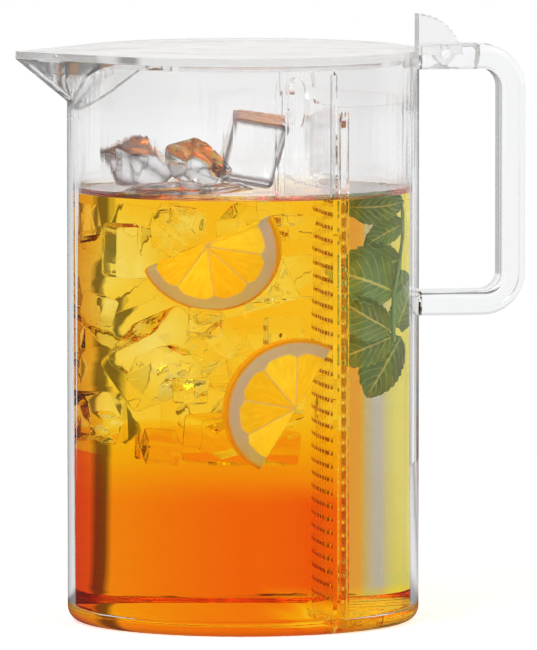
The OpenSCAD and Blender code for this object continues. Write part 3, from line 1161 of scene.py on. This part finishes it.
@dataclass
class Block:
    """Turned box round a piece of ice or lemon, for keeping ice apart."""

    centre: Vector
    turn: Matrix
    half: Vector

    def corners(self) -> Iterable[Vector]:
        """Corners of the box."""
        for x in (-1, 1):
            for y in (-1, 1):
                for z in (-1, 1):
                    yield self.centre + self.turn @ Vector(
                        (x * self.half.x, y * self.half.y, z * self.half.z)
                    )

    def meets(self, other: "Block") -> bool:
        """Says whether two boxes overlap, by looking for a plane between them.

        Args:
            other: The other box.

        Returns:
            True if no plane parts them.
        """
        mine = [self.turn.col[i] for i in range(3)]
        theirs = [other.turn.col[i] for i in range(3)]
        gap = other.centre - self.centre
        axes = mine + theirs + [a.cross(b) for a in mine for b in theirs]
        for axis in axes:
            if axis.length < SHORTEST_AXIS:
                continue
            reach = sum(abs(axis.dot(a)) * h for a, h in zip(mine, self.half))
            reach += sum(abs(axis.dot(a)) * h for a, h in zip(theirs, other.half))
            if abs(axis.dot(gap)) > reach:
                return False
        return True


@dataclass(frozen=True)
class LemonHalf:
    """One half slice of lemon: where its centre is and how it is turned."""

    name: str
    right_mm: float
    away_mm: float
    up_mm: float
    bulge_deg: float
    lean_deg: float = 0.0
    radius_mm: float = LEMON_RADIUS_MM
    thickness_mm: float = 6.0
    pith_mm: float = 4.2
    rind_mm: float = 1.2
    segments: float = LEMON_SEGMENTS
    first_membrane: float = 0.25
    membrane_mm: float = 0.25
    steps: int = 96
    skin_mm: float = 0.1
    rim_mm: float = 1.5
    rim_drop: float = 0.35
    swell_mm: float = 0.35
    swell_run_mm: float = 0.8
    pith_slope: float = 0.6

    @property
    def turn(self) -> Matrix:
        """Turn whose columns are the cut edge, the bulge and the face's normal."""
        facing = (SIGHT.right * self.right_mm + SIGHT.away * self.away_mm).normalized()
        level = Vector((0, 0, 1)).cross(facing)
        tip = math.radians(self.lean_deg)
        up = Vector((0, 0, 1)) * math.cos(tip) - facing * math.sin(tip)
        bulge = math.radians(self.bulge_deg)
        out = level * math.cos(bulge) + up * math.sin(bulge)
        normal = level.cross(up)
        return Matrix((out.cross(normal), out, normal)).transposed()

    @property
    def centre(self) -> Vector:
        """Centre of the whole slice."""
        return SIGHT.place(self.right_mm, self.away_mm, self.up_mm)

    def block(self) -> "Block":
        """Box round the slice that ice keeps out of."""
        half = Vector((self.radius_mm, self.radius_mm / 2, self.thickness_mm)) * MM
        return Block(self.centre + self.turn.col[1] * half.y, self.turn, half)

    def build(self, flesh: LemonFlesh, rind: WaxyRind) -> None:
        """Makes the slice by spinning a radius through half a turn.

        Args:
            flesh: Finish of the cut faces.
            rind: Finish of the skin.
        """
        count = int(self.radius_mm)
        spoke = [(self.radius_mm * i / count, 0.0) for i in range(count + 1)]
        mesh = lathe(spoke, self.steps, math.pi, unit=1.0)
        bmesh.ops.solidify(mesh, geom=list(mesh.faces), thickness=self.thickness_mm)
        for face in mesh.faces:
            inmost = min(math.hypot(vert.co.x, vert.co.y) for vert in face.verts)
            face.material_index = int(inmost > self.radius_mm - self.skin_mm)
        middle = sum(vert.co.z for vert in mesh.verts) / len(mesh.verts)
        for vert in mesh.verts:
            radius = math.hypot(vert.co.x, vert.co.y)
            rim = min(1.0, max(0.0, (radius - self.radius_mm) / self.rim_mm + 1))
            level = (vert.co.z - middle) * (1 - self.rim_drop * rim**2)
            swell = self.flesh_share(radius, math.atan2(vert.co.y, vert.co.x))
            vert.co.z = level + math.copysign(self.swell_mm, level) * swell
        uv = mesh.loops.layers.uv.new("UVMap")
        for face in mesh.faces:
            for loop in face.loops:
                x, y, _ = loop.vert.co
                turn = math.atan2(y, x) / flesh.segment_turn + self.first_membrane
                loop[uv].uv = (turn, math.hypot(x, y))
        bmesh.ops.recalc_face_normals(mesh, faces=mesh.faces)
        place = Matrix.Translation(self.centre) @ self.turn.to_4x4() @ Matrix.Scale(MM, 4)
        bmesh.ops.transform(mesh, matrix=place, verts=mesh.verts)
        put(self.name, mesh, [flesh.material(), rind.material()], Body.JUG, Sharp.FRUIT)

    def flesh_share(self, radius: float, turn: float) -> float:
        """Share of pulp, from none on pith and membranes to one inside a segment.

        Args:
            radius: Distance from the slice's centre in millimetres.
            turn: Angle round the slice.

        Returns:
            A number from zero to one.
        """
        place = turn / math.pi * self.segments + self.first_membrane
        off = abs(place - round(place)) * math.pi / self.segments * radius
        edge = self.radius_mm - self.rind_mm - self.pith_mm - radius
        depth = min(off - self.membrane_mm, self.pith_slope * edge)
        return min(1.0, max(0.0, depth / self.swell_run_mm))


@dataclass
class LemonSlices:
    """The two half slices that lean on the front wall."""

    flesh: LemonFlesh = field(default_factory=LemonFlesh)
    rind: WaxyRind = field(default_factory=WaxyRind)

    def build(self) -> None:
        """Makes both slices."""
        for slice_ in LEMONS:
            slice_.build(self.flesh, self.rind)


LEMONS = (
    LemonHalf("lemon_upper", -13.0, -54.0, 160.0, -64.7, -18.0),
    LemonHalf("lemon_lower", 19.5, -52.0, 93.0, 151.3, -8.0),
)


@dataclass(frozen=True)
class MintLeaf:
    """One leaf: its base point, the way it points in the picture, its turn, size and curl."""

    right_mm: float
    away_mm: float
    up_mm: float
    point_deg: float
    turn_deg: float
    length_mm: float
    width_mm: float
    curl: float = 0.15
    teeth: int = 9
    tooth: float = 0.07
    cells: tuple[int, int] = (36, 14)
    thickness_mm: float = 0.4
    widest: float = 0.75
    fullness: float = 0.7
    cup: float = 0.16
    quilts: int = 16
    quilt_slant: float = 7.0
    quilt_mm: float = 0.175

    def grow(self, mesh: BMesh) -> None:
        """Adds the leaf to a bmesh.

        Args:
            mesh: Bmesh with a UV layer that grows.
        """
        leaf = bmesh.new()
        uv = leaf.loops.layers.uv.new("UVMap")
        along, across = self.cells
        bmesh.ops.create_grid(leaf, x_segments=along, y_segments=across, size=HALF)
        for face in leaf.faces:
            for loop in face.loops:
                loop[uv].uv = (loop.vert.co.x + HALF, loop.vert.co.y + HALF)
        for vert in leaf.verts:
            vert.co = self.blade(vert.co.x + HALF, 2 * vert.co.y)
        bmesh.ops.solidify(leaf, geom=list(leaf.faces), thickness=self.thickness_mm)
        bmesh.ops.recalc_face_normals(leaf, faces=leaf.faces)
        bmesh.ops.transform(leaf, matrix=self.place(), verts=leaf.verts)
        join(mesh, leaf)

    def blade(self, along: float, across: float) -> Vector:
        """Point of the blade in millimetres.

        Args:
            along: Share of the length from base to tip.
            across: Share of the half width, from minus one to one.

        Returns:
            The point, with the length on X, the width on Y and the upper side on Z.
        """
        outline = math.sin(math.pi * along**self.widest) ** self.fullness
        tooth = 1 + self.tooth * (2 * ((along * self.teeth) % 1.0) - 1) * across**4
        half = self.width_mm / 2 * outline * tooth
        sag = self.curl * self.length_mm * (along - HALF) ** 2 * 2
        cup = self.cup * self.width_mm * across**2 * outline
        wave = math.sin(along * self.quilts * math.pi - abs(across) * self.quilt_slant)
        quilt = self.quilt_mm * wave * (1 - across**2)
        return Vector((along * self.length_mm, half * across, cup - sag + quilt))

    def place(self) -> Matrix:
        """Places the leaf.

        Returns:
            Matrix from the leaf's own millimetres to the part's frame.
        """
        point = math.radians(self.point_deg)
        forward = SIGHT.right * math.cos(point) + Vector((0, 0, 1)) * math.sin(point)
        normal = Matrix.Rotation(math.radians(self.turn_deg), 3, forward) @ -SIGHT.away
        turn = Matrix((forward, normal.cross(forward), normal)).transposed()
        base = SIGHT.place(self.right_mm, self.away_mm, self.up_mm)
        return Matrix.Translation(base) @ turn.to_4x4() @ Matrix.Scale(MM, 4)


@dataclass
class MintSprig:
    """Sprig of mint that stands in the basket."""

    skin: MintLeafSkin = field(default_factory=MintLeafSkin)
    leaves: tuple[MintLeaf, ...] = (
        MintLeaf(36.0, -22.0, 172.0, 4.0, 35.0, 26.0, 15.0),
        MintLeaf(60.0, -20.0, 175.0, 186.0, -40.0, 29.0, 16.0),
        MintLeaf(60.0, -18.0, 166.0, 206.0, 25.0, 21.0, 13.0),
        MintLeaf(58.0, -16.0, 150.0, 190.0, -20.0, 30.0, 24.0),
        MintLeaf(56.0, -20.0, 138.0, 160.0, 25.0, 28.0, 22.0),
        MintLeaf(54.6, -24.0, 121.5, 148.0, -10.0, 27.0, 18.0),
        MintLeaf(55.0, -22.0, 119.5, 202.0, 10.0, 26.0, 17.0),
        MintLeaf(57.5, -16.0, 118.7, 238.0, 5.0, 29.0, 21.0),
        MintLeaf(55.0, -14.0, 122.0, 60.0, 30.0, 24.0, 16.0),
        MintLeaf(58.0, -12.0, 146.0, 270.0, -35.0, 26.0, 13.0),
    )
    stem_mm: tuple[tuple[float, float, float], ...] = (
        (55.6, -20.0, 117.0),
        (55.6, -21.0, 130.0),
        (56.2, -20.0, 139.0),
        (58.0, -17.0, 150.0),
        (59.6, -17.0, 160.0),
        (60.2, -18.5, 170.0),
        (59.6, -20.0, 176.4),
    )
    stem_radius_mm: float = 1.1
    stem_sides: int = 8

    def build(self) -> None:
        """Makes the leaves and their stem as one piece."""
        mesh = bmesh.new()
        mesh.loops.layers.uv.new("UVMap")
        self.grow_stem(mesh)
        for leaf in self.leaves:
            leaf.grow(mesh)
        put("mint_leaves", mesh, [self.skin.material()], Body.INFUSER, Sharp.LEAF)

    def grow_stem(self, mesh: BMesh) -> None:
        """Adds the mint stem by drawing a ring through its points.

        Args:
            mesh: Bmesh that grows.
        """
        points = [SIGHT.place(*point) for point in self.stem_mm]
        radius = self.stem_radius_mm * MM
        ring = bmesh.ops.create_circle(mesh, cap_ends=True, segments=self.stem_sides, radius=radius)
        bmesh.ops.translate(mesh, verts=ring["verts"], vec=points[0])
        edges = [e for e in mesh.edges if e.is_boundary]
        for start, end in zip(points, points[1:]):
            drawn = bmesh.ops.extrude_edge_only(mesh, edges=edges)["geom"]
            verts = [g for g in drawn if isinstance(g, BMVert)]
            edges = [g for g in drawn if isinstance(g, BMEdge)]
            bmesh.ops.translate(mesh, verts=verts, vec=end - start)
        bmesh.ops.holes_fill(mesh, edges=edges)
        bmesh.ops.recalc_face_normals(mesh, faces=mesh.faces)


@dataclass(frozen=True)
class Room:
    """Part of the tea that is stronger or weaker than the rest, between two planes and two levels; the
    red edge rooms and the grey band are painted light.
    """

    front_mm: float
    back_mm: float
    low_mm: float
    high_mm: float
    infusion: BlackTea


@dataclass(frozen=True)
class TopIce:
    """One piece of ice on the tea: its place, half sizes and turn; shards are cut by planes."""

    right_mm: float
    away_mm: float
    up_mm: float
    half_mm: tuple[float, float, float]
    turn_deg: tuple[float, float, float]
    cuts: int = 0

    def block(self) -> Block:
        """Places the piece.

        Returns:
            Its turned box.
        """
        place = SIGHT.place(self.right_mm, self.away_mm, self.up_mm)
        turn = Euler([math.radians(t) for t in self.turn_deg]).to_matrix()
        return Block(place, turn, Vector(self.half_mm) * MM)


@dataclass(frozen=True)
class IceShapes:
    """Shapes of ice: rounded cubes and broken shards, with their edges marked for the painted edge
    shade.
    """

    pull: tuple[float, float] = (0.8, 1.0)
    bevel: float = 0.2
    bevel_steps: int = 3
    crispness: float = 18.0
    plane_reach: tuple[float, float] = (0.72, 1.0)
    ball_detail: int = 5
    edge: str = EDGE_MARK

    def cube(self, cube: Block, rng: random.Random) -> Mesh:
        """Makes one rounded, slightly uneven cube.

        Args:
            cube: Place, turn and size of the cube.
            rng: Source of the unevenness.

        Returns:
            A mesh in the frame of the part.
        """
        shape = bmesh.new()
        bmesh.ops.create_cube(shape, size=2.0)
        for vert in shape.verts:
            pull = Vector([rng.uniform(*self.pull) for _ in range(3)])
            vert.co = Vector([vert.co[i] * cube.half[i] * pull[i] for i in range(3)])
        round_edge = bmesh.ops.bevel(
            shape,
            geom=list(shape.edges),
            offset=self.bevel * min(cube.half),
            affect="EDGES",
            segments=self.bevel_steps,
            profile=0.5,
            material=-1,
        )
        edges = shape.verts.layers.float.new(self.edge)
        flat = {v for f in set(shape.faces) - set(round_edge["faces"]) for v in f.verts}
        for vert in shape.verts:
            vert[edges] = float(vert not in flat)
        return self.set_down(shape, cube)

    def shard(self, cube: Block, rng: random.Random, cuts: int) -> Mesh:
        """Makes one broken piece of ice: a ball cut by planes, with melted edges.

        Args:
            cube: Place, turn and size of the piece.
            rng: Source of the planes.
            cuts: Number of planes.

        Returns:
            A mesh in the frame of the part.
        """
        planes = [Matrix.Identity(3).col[i] * side for i in range(3) for side in (-1, 1)]
        for _ in range(cuts):
            way = Vector([rng.gauss(0, 1) for _ in range(3)]).normalized()
            planes.append(way / rng.uniform(*self.plane_reach))
        shape = bmesh.new()
        bmesh.ops.create_icosphere(shape, subdivisions=self.ball_detail, radius=1.0)
        edges = shape.verts.layers.float.new(self.edge)
        for vert in shape.verts:
            pulls = [max(0.0, vert.co.dot(way)) ** self.crispness for way in planes]
            reach = sum(pulls)
            vert[edges] = min(1.0, 2 * (1 - max(pulls) / reach))
            vert.co *= reach ** (-1 / self.crispness)
            vert.co = Vector([vert.co[i] * cube.half[i] for i in range(3)])
        return self.set_down(shape, cube)

    def set_down(self, shape: BMesh, cube: Block) -> Mesh:
        """Sets a piece of ice in its place.

        Args:
            shape: Piece about the origin, which is used up.
            cube: Place, turn and size of the piece.

        Returns:
            A mesh in the frame of the part.
        """
        bmesh.ops.rotate(shape, verts=shape.verts, cent=(0, 0, 0), matrix=cube.turn)
        bmesh.ops.translate(shape, verts=shape.verts, vec=cube.centre)
        return baked(shape, "cube")


@dataclass
class IcedTea:
    """Tea with the ice that floats in it."""

    radius_mm: float = 69.4
    steps: int = 160
    floor_mm: float = 4.3
    level_mm: float = TEA_LEVEL_MM
    corner_mm: float = 3.8
    corner_points: int = 9
    meniscus_mm: float = 2.4
    meniscus_steps: int = 8
    wall_slope: float = 0.1
    ice_low_mm: float = 66.0
    ice_radius_mm: float = 67.6
    cover_mm: float = 1.0
    screen_mm: float = 19.5
    screen_bow_mm: float = SCREEN_BOW_MM
    search_past_mm: float = 8.0
    sizes_mm: tuple[tuple[float, float], ...] = ((27.0, 35.0), (18.0, 25.0), (11.0, 16.0))
    tries: int = 9000
    seed: int = 11
    top_seed: int = 4
    ice_play: float = 0.998
    room_play: float = 0.999
    room_radius_mm: float = 67.2
    room_sides: int = 96
    tea: BlackTea = field(default_factory=BlackTea)
    rooms: tuple[Room, ...] = (
        # Painted reflection: the two red rooms at the left edge stand in for a red strip that the
        # studio shows through the wall.
        Room(-66.9, -60.2, 5.9, 72.0, BlackTea("painted_red_edge_low", absorb=(2.0, 140.0, 200.0))),
        Room(-66.9, -60.2, 72.2, 177.8, BlackTea("painted_red_edge_high", absorb=(1.0, 45.0, 150.0))),
        Room(-60.0, -12.0, 5.9, 54.0, BlackTea("deep_tea_left", absorb=(0.6, 13.0, 150.0))),
        Room(-11.8, 14.0, 5.9, 54.0, BlackTea("deep_tea_middle", absorb=(0.7, 15.0, 150.0))),
        Room(14.2, 29.0, 10.3, 54.0, BlackTea("deep_tea_right", absorb=(0.9, 17.5, 150.0))),
        Room(-60.0, 29.0, 54.2, 63.0, BlackTea("deep_tea_high", absorb=(0.5, 10.5, 150.0))),
        Room(-60.0, 29.0, 63.2, 72.0, BlackTea("mixed_tea", absorb=(0.4, 8.0, 80.0))),
        Room(-60.0, 29.0, 72.2, 80.0, BlackTea("fading_tea", absorb=(0.2, 6.2, 52.0))),
        Room(30.5, 37.2, 10.3, 177.8, BlackTea("strong_infusion", absorb=(2.2, 9.0, 26.0))),
        # Painted light: a neutral grey band behind the screen stands in for the silver band that
        # refraction shows there.
        Room(37.5, 47.0, 10.3, 177.8, BlackTea("painted_grey_band", absorb=(6.0, 6.6, 7.5))),
        Room(47.3, 67.0, 10.3, 177.8, BlackTea("light_infusion", absorb=(0.1, 1.0, 30.0))),
    )
    shapes: IceShapes = field(default_factory=IceShapes)
    wet_ice: ClearIce = field(
        default_factory=lambda: ClearIce("ice_in_tea", ior=1.06, cloud=0.02)
    )
    # The ice above the tea gets painted shade on its marked edges.
    dry_ice: ClearIce = field(
        default_factory=lambda: ClearIce("ice_above_tea", ior=1.31, cloud=0.06, shade="5A4E50")
    )
    top_ice: tuple[TopIce, ...] = (
        TopIce(4.0, -8.0, 195.0, (13.0, 13.0, 15.5), (8.0, 12.0, -8.0)),
        TopIce(-44.0, -6.0, 190.0, (17.0, 13.0, 11.5), (8.0, 16.0, 38.0), 10),
        TopIce(-18.0, -14.0, 187.5, (12.0, 10.0, 8.5), (-14.0, 22.0, 25.0), 8),
        TopIce(-30.0, -36.0, 181.4, (16.0, 10.0, 2.4), (4.0, -3.0, 15.0), 8),
        TopIce(-6.0, -34.0, 181.2, (11.0, 9.0, 2.2), (-4.0, 3.0, 60.0), 8),
    )
    taken: list[Block] = field(default_factory=lambda: [slice_.block() for slice_ in LEMONS])
    cubes: list[Block] = field(default_factory=list)

    def build(self) -> None:
        """Makes the tea, the cubes in it and the ice on top."""
        self.scatter()
        liquid = self.tea_mesh()
        ice = bmesh.new()
        rng = random.Random(self.seed)
        marks = liquid.faces.layers.float.new(self.tea.bare)
        walls = liquid.faces.layers.float.new(self.tea.wetted)
        beds = liquid.faces.layers.float.new(self.tea.bed)
        for face in liquid.faces:
            middle = face.calc_center_median()
            face[walls] = float(face.normal.z < self.wall_slope and middle.z < self.level_mm * MM)
            face[beds] = float(face.normal.z < -UPWARD)
        for cube in self.cubes:
            shape = self.shapes.cube(cube, rng)
            merge(ice, shape, self.ice_play, cube.centre)
            for face in merge(liquid, shape, 1.0, cube.centre):
                face[marks] = 1.0
                face.normal_flip()
            bpy.data.meshes.remove(shape)
        for room in self.rooms:
            shape = self.room_mesh(room)
            for face in merge(liquid, shape, 1.0, Vector()):
                face[marks] = 1.0
                face.normal_flip()
            self.fill_room(shape, room)
        put("iced_tea", liquid, [self.tea.material()], Body.JUG)
        put("ice_in_tea", ice, [self.wet_ice.material()], Body.JUG, Sharp.ICE)
        self.build_top_ice(random.Random(self.top_seed))

    def room_mesh(self, room: Room) -> Mesh:
        """Makes the shape of one room of the tea.

        Args:
            room: Planes and levels of the room.

        Returns:
            A closed mesh in the frame of the part.
        """
        shape = bmesh.new()
        bmesh.ops.create_cone(
            shape,
            cap_ends=True,
            segments=self.room_sides,
            radius1=self.room_radius_mm * MM,
            radius2=self.room_radius_mm * MM,
            depth=(room.high_mm - room.low_mm) * MM,
        )
        middle = (room.high_mm + room.low_mm) / 2
        bmesh.ops.translate(shape, verts=shape.verts, vec=(0, 0, middle * MM))
        for place, way in ((room.front_mm, -1), (room.back_mm, 1)):
            cut = bmesh.ops.bisect_plane(
                shape,
                geom=everything(shape),
                plane_co=(place * MM, 0, 0),
                plane_no=(way, 0, 0),
                clear_outer=True,
            )
            edges = [e for e in cut["geom_cut"] if isinstance(e, BMEdge)]
            bmesh.ops.edgenet_fill(shape, edges=edges)
        bmesh.ops.recalc_face_normals(shape, faces=shape.faces)
        return baked(shape, "room")

    def fill_room(self, shape: Mesh, room: Room) -> None:
        """Makes the liquid in one room of the tea.

        Args:
            shape: Mesh of the room, which is used up.
            room: Room that the liquid fills.
        """
        mesh = bmesh.new()
        infusion = room.infusion
        marks = mesh.faces.layers.float.new(infusion.bare)
        centre = sum((v.co for v in shape.vertices), Vector()) / len(shape.vertices)
        for face in merge(mesh, shape, self.room_play, centre):
            face[marks] = 1.0
        put(infusion.name, mesh, [infusion.material()], Body.JUG)
        bpy.data.meshes.remove(shape)

    def tea_mesh(self) -> BMesh:
        """Makes the body of the tea with a small meniscus at the wall.

        Returns:
            The closed bmesh.
        """
        r, low, top = self.radius_mm, self.floor_mm, self.level_mm
        c, m = self.corner_mm, self.meniscus_mm
        profile = [(0.0, low)]
        profile += arc((r - c, low + c), c, -90, 0, self.corner_points)
        shares = [i / self.meniscus_steps for i in range(self.meniscus_steps + 1)]
        profile += [(r - m * u, top + m * (1 - u) ** 3) for u in shares]
        profile += [(0.0, top)]
        return lathe(profile, self.steps)

    def fits(self, cube: Block) -> bool:
        """Says whether a cube lies in the tea, in front of the screen and clear of the rest.

        Args:
            cube: The cube to test.

        Returns:
            True if it can stay.
        """
        for corner in cube.corners():
            x, y, z = corner / MM
            if z < self.ice_low_mm or z > self.level_mm - self.cover_mm:
                return False
            if math.hypot(x, y) > self.ice_radius_mm:
                return False
            if x > self.screen_mm + y * y / (2 * self.screen_bow_mm):
                return False
        return not any(cube.meets(other) for other in self.taken + self.cubes)

    def scatter(self) -> None:
        """Fills the upper tea with cubes and then with chips, none of which meet."""
        rng = random.Random(self.seed)
        reach = self.ice_radius_mm
        for sizes in self.sizes_mm:
            for _ in range(self.tries):
                spot = Vector(
                    (
                        rng.uniform(-reach, self.screen_mm + self.search_past_mm),
                        rng.uniform(-reach, reach),
                        rng.uniform(self.ice_low_mm, self.level_mm),
                    )
                )
                turn = Euler([rng.uniform(0, math.pi) for _ in range(3)]).to_matrix()
                half = Vector([HALF * rng.uniform(*sizes) * MM for _ in range(3)])
                cube = Block(spot * MM, turn, half)
                if self.fits(cube):
                    self.cubes.append(cube)

    def build_top_ice(self, rng: random.Random) -> None:
        """Makes the ice that stands out of the tea.

        Args:
            rng: Source of the unevenness.
        """
        mesh = bmesh.new()
        for ice in self.top_ice:
            cube, cuts = ice.block(), ice.cuts
            shape = self.shapes.shard(cube, rng, cuts) if cuts else self.shapes.cube(cube, rng)
            merge(mesh, shape, 1.0, cube.centre)
            bpy.data.meshes.remove(shape)
        put("ice_above_tea", mesh, [self.dry_ice.material()], Body.JUG, Sharp.ICE)


def main() -> None:
    """Builds the pieces in order."""
    logging.basicConfig(level=logging.INFO, format="%(name)s %(message)s")
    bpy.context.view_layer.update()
    parts = (
        Studio(),
        ClearJug(),
        HingedLid(),
        InfuserBasket(),
        IcedTea(),
        LemonSlices(),
        MintSprig(),
    )
    for part in parts:
        part.build()
        LOG.info("built %s", type(part).__name__)


if __name__ == "__main__":
    main()
